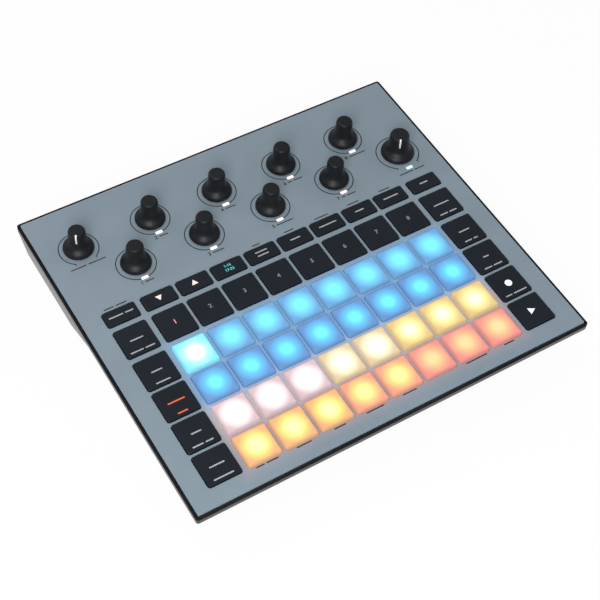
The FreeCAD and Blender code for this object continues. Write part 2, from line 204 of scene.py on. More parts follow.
class ShaderGraph(NodeGraph):
    """A material's node tree, with its shader."""

    def __init__(self, name: str) -> None:
        """Start a material with a shader and its output.

        Args:
            name: The material's name.
        """
        self.material = bpy.data.materials.new(name)
        self.material.use_nodes = True
        super().__init__(self.material.node_tree)
        self.tree.nodes.clear()
        self.output = self.add("ShaderNodeOutputMaterial")
        self.shader = self.add("ShaderNodeBsdfPrincipled")
        self.join(self.shader.outputs[0], self.output.inputs["Surface"])

    def put(self, **values: object) -> None:
        """Link or set the shader's sockets, named with underscores for spaces."""
        for name, value in values.items():
            self.feed(self.shader.inputs[name.replace("_", " ")], value)

    def place(self, centre: Vector = ORIGIN, stretch: Vector = EVEN) -> bpy.types.NodeSocket:
        """Object coordinates about a centre.

        Args:
            centre: The point that becomes zero, in metres.
            stretch: The scale along each axis.

        Returns:
            The socket that carries the coordinates.
        """
        where = self.add("ShaderNodeTexCoord").outputs["Object"]
        shift = tuple(-c * s for c, s in zip(centre, stretch))
        return self.add("ShaderNodeMapping", Vector=where, Location=shift, Scale=tuple(stretch)).outputs[0]

    def noise(self, per_metre: float, octaves: float, stretch: Vector = EVEN) -> bpy.types.NodeSocket:
        """Noise on the object's own coordinates.

        Args:
            per_metre: How many grains to a metre.
            octaves: The noise's octaves.
            stretch: The scale along each axis.

        Returns:
            The noise's value socket.
        """
        where = self.place(stretch=stretch)
        return self.add("ShaderNodeTexNoise", Scale=per_metre, Detail=octaves, Vector=where).outputs[0]

    def span(self, value: bpy.types.NodeSocket, low: float, high: float) -> bpy.types.NodeSocket:
        """A noise's middle range spread between two limits."""
        return self.fade(value, 0.3, 0.7, low, high, "LINEAR")

    def ramp(self, share: bpy.types.NodeSocket, *stops: tuple[float, Colour]) -> bpy.types.NodeSocket:
        """A colour that runs through several stops.

        Args:
            share: The socket that runs along the ramp.
            stops: Each stop's place and colour.

        Returns:
            The colour's socket.
        """
        node = self.add("ShaderNodeValToRGB", Fac=share)
        elements = node.color_ramp.elements
        while len(elements) < len(stops):
            elements.new(0.5)
        for element, (place, colour) in zip(elements, stops):
            element.position = place
            element.color = (*colour, 1)
        return node.outputs[0]

    def blend(self, share: bpy.types.NodeSocket, low: Colour, high: Colour) -> bpy.types.NodeSocket:
        """A colour between two."""
        return self.ramp(share, (0.0, low), (1.0, high))

    def bump(self, height: bpy.types.NodeSocket, depth: float) -> None:
        """Raise the surface by a height pattern, its depth in metres."""
        self.put(Normal=self.add("ShaderNodeBump", Strength=1.0, Distance=depth, Height=height).outputs[0])


@dataclass(frozen=True)
class Grained:
    """A moulded or painted finish: two close tones, a fine grain and an uneven gloss."""

    name: str
    dark: Colour
    light: Colour
    rough: tuple[float, float]
    grain_per_m: float = 2600.0
    grain_depth: float = 0.00002
    specular: float = 0.5
    cloud_per_m: float = 35.0

    def build(self) -> bpy.types.Material:
        """Make the material."""
        return self.graph().material

    def graph(self) -> ShaderGraph:
        """Make the material's tree."""
        graph = ShaderGraph(self.name)
        cloud = graph.span(graph.noise(self.cloud_per_m, 4.0), 0.0, 1.0)
        grain = graph.noise(self.grain_per_m, 2.0)
        graph.put(Base_Color=graph.blend(cloud, self.dark, self.light), Roughness=graph.span(grain, *self.rough),
                  Specular_IOR_Level=self.specular)
        graph.bump(grain, self.grain_depth)
        return graph


@dataclass(frozen=True)
class LitPaint:
    """The faceplate's paint, with a painted glow of the pads' light spilling onto it round the pad field."""

    paint: Grained
    centre: Vector
    half: Vector
    # How far past the pad field the painted pad glow fades out, and how far inside it the fade starts, in metres.
    reach: float = 0.007
    overlap: float = 0.002

    def build(self) -> bpy.types.Material:
        """Make the material."""
        graph = self.paint.graph()
        place = graph.place(self.centre)
        sides = graph.parts(graph.add("ShaderNodeVectorMath", "ABSOLUTE", Vector=place).outputs[0])
        beyond = [graph.number("SUBTRACT", sides[i], self.half[i]) for i in (0, 1)]
        # Painted pad glow: full emission over the pad field, fading out past its edge.
        level = graph.fade(graph.number("MAXIMUM", *beyond), -self.overlap, self.reach, 1.0, 0.0)
        # The painted glow takes the colour of the nearest row of pads, from front to back.
        row = graph.fade(graph.parts(place)["Y"], -self.half.y, self.half.y, 0.0, 1.0)
        graph.put(Emission_Color=graph.ramp(row, *PAINTED_PAD_SPILL), Emission_Strength=level)
        return graph.material


@dataclass(frozen=True)
class Brushed:
    """Drawn or plated metal with fine lines along one axis."""

    name: str
    dark: Colour
    light: Colour
    rough: tuple[float, float]
    lines_per_m: float = 4000.0
    line_depth: float = 0.000008

    def build(self) -> bpy.types.Material:
        """Make the material."""
        graph = ShaderGraph(self.name)
        lines = graph.noise(self.lines_per_m, 3.0, Vector((1, 0.05, 1)))
        graph.put(Metallic=1.0, Base_Color=graph.blend(graph.span(lines, 0, 1), self.dark, self.light),
                  Roughness=graph.span(lines, *self.rough))
        graph.bump(lines, self.line_depth)
        return graph.material


@dataclass(frozen=True)
class Laminate:
    """A circuit board: solder mask with rows of fine tracks under it."""

    name: str
    mask: Colour
    track: Colour
    bricks_per_m: float = 260.0
    relief: float = 0.00002

    def build(self) -> bpy.types.Material:
        """Make the material."""
        graph = ShaderGraph(self.name)
        dim = (*(c * 0.8 for c in self.mask), 1)
        bricks = graph.add("ShaderNodeTexBrick", Scale=self.bricks_per_m, Mortar_Size=0.08, Color1=(*self.mask, 1),
                           Color2=dim, Mortar=(*self.track, 1), Vector=graph.place())
        graph.put(Roughness=0.35, Specular_IOR_Level=0.5, Base_Color=bricks.outputs["Color"])
        graph.bump(bricks.outputs["Fac"], self.relief)
        return graph.material


@dataclass(frozen=True)
class LitRubber:
    """Milky silicone over a light: bright at the core and deeper in colour towards the edge."""

    name: str
    light: PadLight
    centre: Vector
    half: float
    border_glow: float = 0.74

    def build(self) -> bpy.types.Material:
        """Make the material."""
        core, middle, edge, width = self.light.value
        graph = ShaderGraph(self.name)
        stretch = 1 / self.half
        place = graph.place(self.centre, Vector((stretch, stretch, 0)))
        reach = graph.add("ShaderNodeVectorMath", "LENGTH", Vector=place).outputs["Value"]
        share = graph.fade(reach, 0.0, 1.25, 0.0, 1.0)
        glow = graph.ramp(share, (width, core), (width + 0.34, middle), (0.92, edge))
        sides = graph.parts(graph.add("ShaderNodeVectorMath", "ABSOLUTE", Vector=place).outputs[0])
        border = graph.number("MAXIMUM", sides["X"], sides["Y"])
        milk = graph.noise(900.0, 2.0)
        tone = tuple(0.10 + 0.12 * c for c in edge)
        graph.put(Specular_IOR_Level=0.35, Emission_Color=glow,
                  Emission_Strength=graph.fade(border, 0.84, 0.99, 1.0, self.border_glow),
                  Base_Color=graph.blend(milk, tone, tuple(c * 1.12 for c in tone)),
                  Roughness=graph.span(milk, 0.42, 0.52))
        graph.bump(graph.noise(3200.0, 2.0), 0.000015)
        return graph.material


@dataclass(frozen=True)
class Glowing:
    """A small lit mark or window, with a slightly uneven glow."""

    name: str
    colour: Colour
    strength: float

    def build(self) -> bpy.types.Material:
        """Make the material."""
        graph = ShaderGraph(self.name)
        cloud = graph.span(graph.noise(700.0, 1.0), 0.0, 1.0)
        dim = tuple(c * 0.86 for c in self.colour)
        graph.put(Roughness=0.4, Base_Color=(*(c * 0.3 for c in self.colour), 1), Emission_Strength=self.strength,
                  Emission_Color=graph.blend(cloud, dim, self.colour))
        return graph.material


class Finishes:
    """Every finish on the object, made once and shared."""

    def __init__(self) -> None:
        """Make the shared materials."""
        paint = Grained("panel_paint", (0.205, 0.264, 0.312), (0.225, 0.288, 0.338), (0.30, 0.40))
        low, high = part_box("pad_row4_col1")[0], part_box("pad_row1_col8")[1]
        # The faceplate's paint, with a painted glow of the pads' light round the pad field.
        self.panel = LitPaint(paint, (low + high) / 2, (high - low) / 2).build()
        self.case = Grained("case_plastic", (0.014, 0.015, 0.017), (0.019, 0.020, 0.022), (0.28, 0.36),
                            grain_per_m=1800.0, grain_depth=0.00002, specular=0.6).build()
        self.rim = Grained("rim_plastic", (0.012, 0.013, 0.015), (0.017, 0.018, 0.021), (0.50, 0.62),
                           grain_per_m=1800.0, grain_depth=0.00002, specular=0.0).build()
        self.dark_key = Grained("dark_silicone", (0.006, 0.010, 0.015), (0.009, 0.013, 0.020), (0.42, 0.54),
                                specular=0.22).build()
        self.knob = Grained("knob_rubber", (0.007, 0.008, 0.010), (0.011, 0.012, 0.014), (0.38, 0.50),
                            grain_depth=0.00002, specular=0.25).build()
        self.foot = Grained("foot_rubber", (0.012, 0.012, 0.012), (0.02, 0.02, 0.02), (0.65, 0.8),
                            grain_per_m=1400.0, grain_depth=0.00006).build()
        self.socket = Grained("socket_plastic", (0.010, 0.010, 0.011), (0.016, 0.016, 0.017), (0.4, 0.5)).build()
        self.membrane = Grained("switch_sheet", (0.20, 0.20, 0.22), (0.26, 0.26, 0.28), (0.5, 0.6)).build()
        self.wrap = Grained("battery_wrap", (0.30, 0.32, 0.35), (0.36, 0.38, 0.42), (0.25, 0.35)).build()
        self.steel = Brushed("socket_steel", (0.50, 0.50, 0.51), (0.64, 0.64, 0.65), (0.22, 0.36)).build()
        self.gold = Brushed("contact_gold", (0.70, 0.50, 0.22), (0.84, 0.62, 0.30), (0.2, 0.3)).build()
        self.board = Laminate("board_laminate", (0.015, 0.09, 0.05), (0.05, 0.17, 0.09)).build()
        self.black_ink = Grained("black_ink", (0.010, 0.011, 0.013), (0.016, 0.017, 0.020), (0.5, 0.6)).build()
        self.white_ink = Grained("white_ink", (0.80, 0.80, 0.79), (0.88, 0.88, 0.87), (0.4, 0.5)).build()
        self.grey_ink = Grained("grey_ink", (0.20, 0.21, 0.24), (0.25, 0.26, 0.29), (0.45, 0.55)).build()
        self.key_ink = Grained("key_ink", (0.36, 0.37, 0.38), (0.42, 0.43, 0.44), (0.45, 0.55)).build()
        self.lit_white = Glowing("lit_white", (0.95, 0.97, 1.0), 0.85).build()
        self.lit_warm = Glowing("lit_warm", (1.0, 0.82, 0.74), 0.9).build()
        self.lit_orange = Glowing("lit_orange", (1.0, 0.16, 0.05), 0.7).build()
        self.lit_teal = Glowing("lit_teal", (0.10, 0.62, 0.66), 0.7).build()
        self.lit_red = Glowing("lit_red", (1.0, 0.42, 0.36), 0.8).build()
        self.knob_light = Glowing("knob_light", (1.0, 0.80, 0.78), 1.15).build()
        self.filter_light = Glowing("filter_light", (0.62, 1.0, 1.0), 1.2).build()


# Meshes
def crease_flats(mesh: bpy.types.Mesh) -> None:
    """Keep the shading of level and broad flat faces apart from the curves beside them.

    Args:
        mesh: The mesh, with its sharp edges already found by angle.
    """
    for polygon in mesh.polygons:
        edges = [mesh.edges[mesh.loops[i].edge_index] for i in polygon.loop_indices]
        around = sum((mesh.vertices[e.vertices[0]].co - mesh.vertices[e.vertices[1]].co).length for e in edges)
        broad = polygon.area > BROAD_WIDTH * MM * around
        if broad or abs(polygon.normal.z) > LEVEL_COSINE:
            for edge in edges:
                edge.use_edge_sharp = True


def finish_mesh(name: str, mesh: bpy.types.Mesh, material: bpy.types.Material, body: str,
                stands_for: tuple[str, ...] = (), sharp: float = 32.0) -> None:
    """Make an object of a mesh in metres and set it on its body.

    Args:
        name: The piece's name.
        mesh: Its mesh, already in place.
        material: Its material, if the mesh has none.
        body: The body that carries it.
        stands_for: The frame's nodes that it replaces.
        sharp: The angle in degrees past which an edge stays sharp.
    """
    mesh.name = name
    if not mesh.materials:
        mesh.materials.append(material)
    for polygon in mesh.polygons:
        polygon.use_smooth = True
    mesh.set_sharp_from_angle(angle=math.radians(sharp))
    crease_flats(mesh)
    piece = bpy.data.objects.new(name, mesh)
    bpy.context.scene.collection.objects.link(piece)
    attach(piece, body)
    if stands_for:
        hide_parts(*stands_for)
    LOG.info("%s on %s, %d faces", name, body, len(mesh.polygons))


def bake(source: bpy.types.Object) -> bpy.types.Mesh:
    """The evaluated mesh of an object, which is then removed.

    Args:
        source: The object, with its modifiers.

    Returns:
        The plain mesh.
    """
    graph = bpy.context.evaluated_depsgraph_get()
    graph.update()
    ready = source.evaluated_get(graph)
    mesh = bpy.data.meshes.new_from_object(ready, preserve_all_data_layers=True, depsgraph=graph)
    data = source.data
    bpy.data.objects.remove(source)
    if isinstance(data, bpy.types.Curve):
        bpy.data.curves.remove(data)
    return mesh


def merged(mesh: bpy.types.Mesh) -> bmesh.types.BMesh:
    """The shape of a mesh with its loose triangles merged.

    Args:
        mesh: The mesh.

    Returns:
        The shape, which the caller frees.
    """
    shape = bmesh.new()
    shape.from_mesh(mesh)
    bmesh.ops.remove_doubles(shape, verts=shape.verts, dist=MERGE_METRES)
    return shape


def written(shape: bmesh.types.BMesh, name: str, outwards: bool = True) -> bpy.types.Mesh:
    """A new mesh of a shape, which is then freed.

    Args:
        shape: The shape.
        name: The mesh's name.
        outwards: Whether its faces are turned outwards first.

    Returns:
        The mesh.
    """
    if outwards:
        bmesh.ops.recalc_face_normals(shape, faces=shape.faces)
    mesh = bpy.data.meshes.new(name)
    shape.to_mesh(mesh)
    shape.free()
    return mesh


def joined(meshes: list[bpy.types.Mesh]) -> bpy.types.Mesh:
    """One mesh from several, with each one's materials kept.

    Args:
        meshes: The meshes.

    Returns:
        The whole mesh.
    """
    whole = bmesh.new()
    materials = []
    for mesh in meshes:
        start = len(whole.faces)
        whole.from_mesh(mesh)
        whole.faces.ensure_lookup_table()
        for face in whole.faces[start:]:
            face.material_index += len(materials)
        materials += list(mesh.materials)
    result = written(whole, "joined", outwards=False)
    for material in materials:
        result.materials.append(material)
    return result


def rounded_rectangle(x0: float, x1: float, y0: float, y1: float, radius: float, steps: int = 6) -> list[Point]:
    """The corners of a rectangle with round corners, turning to the left.

    Args:
        x0: Its left side.
        x1: Its right side.
        y0: Its front side.
        y1: Its back side.
        radius: The corner radius.
        steps: The segments of each corner.

    Returns:
        The points in order.
    """
    points = []
    centres = [(x1 - radius, y0 + radius, -90), (x1 - radius, y1 - radius, 0),
               (x0 + radius, y1 - radius, 90), (x0 + radius, y0 + radius, 180)]
    for cx, cy, start in centres:
        for i in range(steps + 1):
            angle = math.radians(start + 90 * i / steps)
            points.append((cx + radius * math.cos(angle), cy + radius * math.sin(angle)))
    return points


def circle(x: float, y: float, radius: float, steps: int = 48) -> list[Point]:
    """The points of a circle."""
    turns = [2 * math.pi * i / steps for i in range(steps)]
    return [(x + radius * math.cos(a), y + radius * math.sin(a)) for a in turns]


def plate_mesh(outlines: list[list[Point]], low: float, high: float, edge: float) -> bpy.types.Mesh:
    """A flat plate with rounded edges, from an outer outline and the holes in it.

    Args:
        outlines: The closed outlines.
        low: The level of its underside.
        high: The level of its top.
        edge: The radius of its edges.

    Returns:
        The mesh in metres.
    """
    curve = bpy.data.curves.new("plate", "CURVE")
    curve.dimensions = "2D"
    curve.fill_mode = "BOTH"
    curve.extrude = ((high - low) / 2 - edge) * MM
    curve.bevel_depth = edge * MM
    curve.bevel_resolution = 2
    curve.offset = -edge * MM
    for outline in outlines:
        spline = curve.splines.new("POLY")
        spline.points.add(len(outline) - 1)
        for point, (x, y) in zip(spline.points, outline):
            point.co = (x * MM, y * MM, 0, 1)
        spline.use_cyclic_u = True
    source = bpy.data.objects.new("plate", curve)
    bpy.context.scene.collection.objects.link(source)
    mesh = bake(source)
    mesh.transform(Matrix.Translation((0, 0, (low + high) / 2 * MM)))
    return written(merged(mesh), "plate")


def turned_mesh(profile: list[Point], x: float, y: float, steps: int = 96) -> bpy.types.Mesh:
    """A solid turned about an upright axis.

    Args:
        profile: Its radius and level at each point, from the axis below to the axis above.
        x: The axis's place.
        y: The axis's place.
        steps: The segments round it.

    Returns:
        The mesh in metres.
    """
    shape = bmesh.new()
    rings = []
    for radius, level in profile:
        if radius == 0:
            rings.append([shape.verts.new((x * MM, y * MM, level * MM))])
            continue
        rings.append([shape.verts.new((px * MM, py * MM, level * MM)) for px, py in circle(x, y, radius, steps)])
    for low, high in zip(rings, rings[1:]):
        for i in range(steps):
            j = (i + 1) % steps
            corners = [low[i % len(low)], low[j % len(low)], high[j % len(high)], high[i % len(high)]]
            shape.faces.new(list(dict.fromkeys(corners)))
    return written(shape, "turned")


def span_mm(node: str) -> tuple[Vector, Vector]:
    """A node's corners in millimetres."""
    low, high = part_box(node)
    return low / MM, high / MM


def centre_mm(node: str) -> Vector:
    """A node's middle in millimetres."""
    low, high = span_mm(node)
    return (low + high) / 2


# Geometry node trees
class TreeMaker(NodeGraph):
    """A geometry node tree that sets a piece on each point of a cloud."""

    def __init__(self, name: str) -> None:
        """Start a tree that takes a geometry and gives one.

        Args:
            name: The tree's name.
        """
        super().__init__(bpy.data.node_groups.new(name, "GeometryNodeTree"))
        for way in ("INPUT", "OUTPUT"):
            self.tree.interface.new_socket("Geometry", in_out=way, socket_type="NodeSocketGeometry")
        self.start = self.add("NodeGroupInput")
        self.end = self.add("NodeGroupOutput")

    def inputs(self, **values: float) -> list[bpy.types.NodeSocket]:
        """Named inputs for sizes, and the material's input after them.

        Args:
            values: Each input's name and its value at first, in metres or radians.

        Returns:
            The sockets inside the tree.
        """
        for name, value in values.items():
            socket = self.tree.interface.new_socket(name, in_out="INPUT", socket_type="NodeSocketFloat")
            socket.default_value = value
        self.tree.interface.new_socket("Material", in_out="INPUT", socket_type="NodeSocketMaterial")
        return [self.start.outputs[name] for name in (*values, "Material")]

    def both(self, first: bpy.types.NodeSocket, second: bpy.types.NodeSocket) -> bpy.types.NodeSocket:
        """Two geometries as one.

        Args:
            first: The first geometry.
            second: The second geometry.

        Returns:
            The joined geometry's socket.
        """
        node = self.add("GeometryNodeJoinGeometry", Geometry=first)
        self.join(second, node.inputs[0])
        return node.outputs[0]

    def close(self, piece: bpy.types.NodeSocket, material: bpy.types.NodeSocket,
              **links: bpy.types.NodeSocket) -> bpy.types.NodeTree:
        """End the tree with the piece on each point, as real geometry with its material.

        Args:
            piece: What the tree has made.
            material: The material's socket.
            links: Other inputs of the node that sets the piece.

        Returns:
            The finished tree.
        """
        points = self.start.outputs["Geometry"]
        spread = self.add("GeometryNodeInstanceOnPoints", Points=points, Instance=piece, **links)
        real = self.add("GeometryNodeRealizeInstances", Geometry=spread.outputs[0])
        dressed = self.add("GeometryNodeSetMaterial", Geometry=real.outputs[0], Material=material)
        self.join(dressed.outputs[0], self.end.inputs[0])
        return self.tree


def grow(tree: bpy.types.NodeTree, points: list[Vector], material: bpy.types.Material,
         **sizes: float) -> bpy.types.Mesh:
    """Run a tree on a cloud of points and bake what it makes.

    Args:
        tree: The geometry node tree.
        points: The points in metres.
        material: The material that it sets.
        sizes: Its named inputs.

    Returns:
        The plain mesh.
    """
    cloud = bpy.data.meshes.new("points")
    cloud.from_pydata([tuple(p) for p in points], [], [])
    source = bpy.data.objects.new("points", cloud)
    bpy.context.scene.collection.objects.link(source)
    modifier = source.modifiers.new("tree", "NODES")
    modifier.node_group = tree
    values = {**sizes, "Material": material}
    for item in tree.interface.items_tree:
        if item.in_out == "INPUT" and item.name in values:
            modifier[item.identifier] = values[item.name]
    return bake(source)


def key_tree() -> bpy.types.NodeTree:
    """The tree that sets a round-cornered, soft-edged key top on each point."""
    maker = TreeMaker("key tops")
    width, depth, corner, height, edge, material = maker.inputs(Width=0.019, Depth=0.019, Corner=0.0012,
                                                                Height=0.004, Edge=0.0005)
    outline = maker.add("GeometryNodeCurvePrimitiveQuadrilateral", Width=width, Height=depth)
    rounded = maker.add("GeometryNodeFilletCurve", "POLY", Curve=outline.outputs[0], Count=5, Radius=corner)
    flat = maker.add("GeometryNodeFillCurve", "NGONS", Curve=rounded.outputs[0]).outputs[0]
    wall = maker.number("SUBTRACT", height, edge)
    solid = maker.add("GeometryNodeExtrudeMesh", Mesh=flat, Offset_Scale=wall, Individual=False)
    layer, top = solid.outputs["Mesh"], solid.outputs["Top"]
    last, last_rise = 0.0, 0.0
    for degrees in (30, 60, 90):
        inset = 1 - math.cos(math.radians(degrees))
        rise = math.sin(math.radians(degrees))
        step = maker.add("GeometryNodeExtrudeMesh", Mesh=layer, Selection=top,
                         Offset_Scale=maker.number("MULTIPLY", edge, rise - last_rise), Individual=False)
        shrink = []
        for side in (width, depth):
            now, before = [maker.number("SUBTRACT", side, maker.number("MULTIPLY", edge, 2 * way))
                           for way in (inset, last)]
            shrink.append(maker.number("DIVIDE", now, before))
        scale = maker.add("ShaderNodeCombineXYZ", X=shrink[0], Y=shrink[1], Z=1.0).outputs[0]
        spot = maker.add("GeometryNodeInputPosition").outputs[0]
        move = maker.add("ShaderNodeVectorMath", "MULTIPLY", Vector=spot)
        maker.join(scale, move.inputs[1])
        drawn = maker.add("GeometryNodeSetPosition", Geometry=step.outputs["Mesh"], Selection=step.outputs["Top"],
                          Position=move.outputs[0])
        layer, top = drawn.outputs[0], step.outputs["Top"]
        last, last_rise = inset, rise
    base = maker.add("GeometryNodeFlipFaces", Mesh=flat)
    return maker.close(maker.both(layer, base.outputs[0]), material)


def arc_tree() -> bpy.types.NodeTree:
    """The tree that prints a flat arc round each point."""
    maker = TreeMaker("printed arcs")
    radius, width, start, sweep, thickness, material = maker.inputs(Radius=0.011, Width=0.0004, Start=0.0,
                                                                    Sweep=math.pi, Thickness=0.0001)
    strip = maker.add("GeometryNodeMeshGrid", Size_X=1.0, Size_Y=1.0, Vertices_X=97, Vertices_Y=2)
    parts = maker.parts(maker.add("GeometryNodeInputPosition").outputs[0])
    along = maker.number("MULTIPLY", maker.number("ADD", parts["X"], 0.5), sweep)
    angle = maker.number("ADD", along, start)
    reach = maker.number("SUBTRACT", radius, maker.number("MULTIPLY", parts["Y"], width))
    x, y = [maker.number("MULTIPLY", reach, maker.number(way, angle)) for way in ("COSINE", "SINE")]
    bent = maker.add("ShaderNodeCombineXYZ", X=x, Y=y, Z=0.0)
    arc = maker.add("GeometryNodeSetPosition", Geometry=strip.outputs["Mesh"], Position=bent.outputs[0]).outputs[0]
    thick = maker.add("GeometryNodeExtrudeMesh", Mesh=arc, Offset_Scale=thickness, Individual=False)
    base = maker.add("GeometryNodeFlipFaces", Mesh=arc)
    return maker.close(maker.both(thick.outputs["Mesh"], base.outputs[0]), material)


def stud_tree() -> bpy.types.NodeTree:
    """The tree that sets a short upright stud on each point."""
    maker = TreeMaker("studs")
    radius, height, material = maker.inputs(Radius=0.001, Height=0.001)
    stud = maker.add("GeometryNodeMeshCylinder", Vertices=24, Radius=radius, Depth=height)
    return maker.close(stud.outputs["Mesh"], material)


def ring_tree() -> bpy.types.NodeTree:
    """The tree that sets a square-walled ring on each point, tilted about the X axis."""
    maker = TreeMaker("rings")
    radius, wall, length, tilt, material = maker.inputs(Radius=0.004, Wall=0.001, Length=0.002, Tilt=0.0)
    path = maker.add("GeometryNodeCurvePrimitiveCircle", Resolution=48, Radius=radius)
    section = maker.add("GeometryNodeCurvePrimitiveQuadrilateral", Width=wall, Height=length)
    ring = maker.add("GeometryNodeCurveToMesh", Curve=path.outputs[0], Profile_Curve=section.outputs[0])
    turn = maker.add("ShaderNodeCombineXYZ", X=tilt, Y=0.0, Z=0.0)
    return maker.close(ring.outputs["Mesh"], material, Rotation=turn.outputs[0])


# Sub-assemblies
@dataclass
class Layout:
    """Where the keys and knobs stand, read from the frame."""

    face: float = 0.0
    key: float = 0.0
    small_depth: float = 0.0
    columns: list[float] = field(default_factory=list)
    rows: list[float] = field(default_factory=list)
    side: float = 0.0
    track: float = 0.0
    small: float = 0.0
    knobs: dict[str, Vector] = field(default_factory=dict)

    def __post_init__(self) -> None:
        """Read every place."""
        self.face = span_mm("top_panel")[1].z
        low, high = span_mm("pad_row1_col1")
        self.key = high.x - low.x - 2 * KEY_LIP
        self.columns = [centre_mm(f"pad_row1_col{col}").x for col in range(1, PAD_COLS + 1)]
        self.rows = [centre_mm(f"pad_row{row}_col1").y for row in range(1, PAD_ROWS + 1)]
        self.side = centre_mm("right_keys").x
        self.track = centre_mm("track_keys").y
        low, high = span_mm("function_keys")
        self.small = (low.y + high.y) / 2
        self.small_depth = high.y - low.y - 2 * KEY_LIP
        names = ["volume_knob", "filter_knob"] + [f"encoder_knob_{n}" for n in range(1, ENCODERS + 1)]
        self.knobs = {name: centre_mm(name) for name in names}

    def group(self, node: str) -> list[Point]:
        """Where the keys of a group of dark keys stand.

        Args:
            node: The group's node.

        Returns:
            Each key's centre.
        """
        if node == "function_keys":
            return [(x, self.small) for x in [-self.side] + self.columns + [self.side]]
        if node == "track_keys":
            return [(x, self.track) for x in self.columns]
        side = -self.side if node == "left_keys" else self.side
        return [(side, y) for y in [self.track] + self.rows]


@dataclass
class Faceplate:
    """The painted faceplate and what is printed on it."""

    layout: Layout
    finishes: Finishes
    edge: float = 0.22
    groove: float = 0.55
    corner: float = 0.8
    clear: float = 0.3
    light_gap: float = 0.1
    shaft_hole: float = 3.5
    ring_radius: float = 11.1
    filter_ring_radius: float = 12.6
    ring_line: float = 0.6
    ring_gap: float = math.radians(26.0)
    dial_gap: float = math.radians(62.0)
    tick: float = math.radians(2.0)
    tick_length: float = 1.4
    tick_reach: float = 0.5
    ink_depth: float = 0.06

    def build(self) -> None:
        """Make the plate, the rings and the marks."""
        low, high = span_mm("top_panel")
        ledge = self.layout.face - FACE_THICKNESS
        groove = self.groove
        outlines = [rounded_rectangle(low.x + groove, high.x - groove, low.y + groove, high.y - groove,
                                      self.corner)]
        half = self.layout.key / 2 + self.clear
        small = self.layout.small_depth / 2 + self.clear
        places = [(x, y, half) for x in self.layout.columns for y in self.layout.rows]
        for node in ("track_keys", "left_keys", "right_keys"):
            places += [(x, y, half) for x, y in self.layout.group(node)]
        places += [(x, y, small) for x, y in self.layout.group("function_keys")]
        corner = KEY_CORNER + self.clear
        outlines += [rounded_rectangle(x - half, x + half, y - d, y + d, corner) for x, y, d in places]
        outlines += [circle(p.x, p.y, self.shaft_hole) for p in self.layout.knobs.values()]
        gap = self.light_gap
        outlines += [rounded_rectangle(a.x - gap, b.x + gap, a.y - gap, b.y + gap, 0.5, 3)
                     for a, b in solid_boxes("knob_light_pipes")]
        meshes = [plate_mesh(outlines, ledge, self.layout.face, self.edge), boss_mesh("top_panel", ledge)]
        for mesh in meshes:
            mesh.materials.append(self.finishes.panel)
        finish_mesh("faceplate", joined(meshes), self.finishes.panel, CASE_BODY, ("top_panel",),
                    30.0)
        self.print_rings()

    def arc(self, tree: bpy.types.NodeTree, names: list[str], radius: float, width: float, start: float,
            sweep: float) -> bpy.types.Mesh:
        """An arc of ink round each of some knobs.

        Args:
            tree: The arc tree.
            names: The knobs' names.
            radius: Its radius.
            width: Its width.
            start: The angle where it starts.
            sweep: The angle that it runs through.

        Returns:
            The arcs' mesh.
        """
        level = self.layout.face - self.ink_depth
        points = [Vector((self.layout.knobs[n].x, self.layout.knobs[n].y, level)) * MM for n in names]
        return grow(tree, points, self.finishes.black_ink, Radius=radius * MM, Width=width * MM, Start=start,
                    Sweep=sweep, Thickness=(self.ink_depth + PRINT_LIFT) * MM)

    def print_rings(self) -> None:
        """Print the line round each knob, broken at its light or open at the dial's foot."""
        tree = arc_tree()
        foot = -math.pi / 2
        encoders = [name for name in self.layout.knobs if "encoder" in name]
        arcs = [self.arc(tree, encoders, self.ring_radius, self.ring_line, foot + self.ring_gap / 2,
                         2 * math.pi - self.ring_gap)]
        half = self.dial_gap / 2
        for name, radius in (("volume_knob", self.ring_radius), ("filter_knob", self.filter_ring_radius)):
            sweep = 2 * math.pi - self.dial_gap
            arcs.append(self.arc(tree, [name], radius, self.ring_line, foot + half, sweep))
            reach = radius + self.tick_reach
            for start in (foot + half, foot - half - self.tick):
                arcs.append(self.arc(tree, [name], reach, self.tick_length, start, self.tick))
        finish_mesh("knob_scale_rings", joined(arcs), self.finishes.black_ink, CASE_BODY)


def flat_copy(node: str, level: float) -> bpy.types.Mesh:
    """A copy of a node's mesh with its triangles merged to flat faces and cut at a level.

    Args:
        node: The frame's node.
        level: The level of the cut in millimetres.

    Returns:
        The mesh in metres, with no material.
    """
    shape = merged(bpy.data.objects[node].data)
    bmesh.ops.dissolve_limit(shape, angle_limit=math.radians(0.5), verts=shape.verts, edges=shape.edges)
    parts = list(shape.verts) + list(shape.edges) + list(shape.faces)
    bmesh.ops.bisect_plane(shape, geom=parts, plane_co=(0, 0, level * MM), plane_no=(0, 0, 1))
    return written(shape, node + "_flat", outwards=False)


def solid_boxes(node: str) -> list[tuple[Vector, Vector]]:
    """The corners in millimetres of each solid of a node, from left to right.

    Args:
        node: The frame's node.

    Returns:
        Each solid's low and high corner.
    """
    shape = merged(bpy.data.objects[node].data)
    boxes = []
    left = set(shape.verts)
    while left:
        stack = [left.pop()]
        island = []
        while stack:
            vert = stack.pop()
            island.append(vert)
            for edge in vert.link_edges:
                other = edge.other_vert(vert)
                if other in left:
                    left.remove(other)
                    stack.append(other)
        low = Vector([min(v.co[i] for v in island) for i in range(3)]) / MM
        high = Vector([max(v.co[i] for v in island) for i in range(3)]) / MM
        boxes.append((low, high))
    shape.free()
    return sorted(boxes, key=lambda pair: (round(pair[0].x, 2), pair[0].y))


def boss_mesh(node: str, level: float) -> bpy.types.Mesh:
    """The part of a node that hangs below a level, merged.

    Args:
        node: The frame's node.
        level: The level in millimetres.

    Returns:
        The mesh in metres.
    """
    shape = merged(bpy.data.objects[node].data)
    gone = [f for f in shape.faces if f.calc_center_median().z > (level - 0.01) * MM]
    bmesh.ops.delete(shape, geom=gone, context="FACES")
    bmesh.ops.holes_fill(shape, edges=shape.edges)
    return written(shape, node + "_bosses")


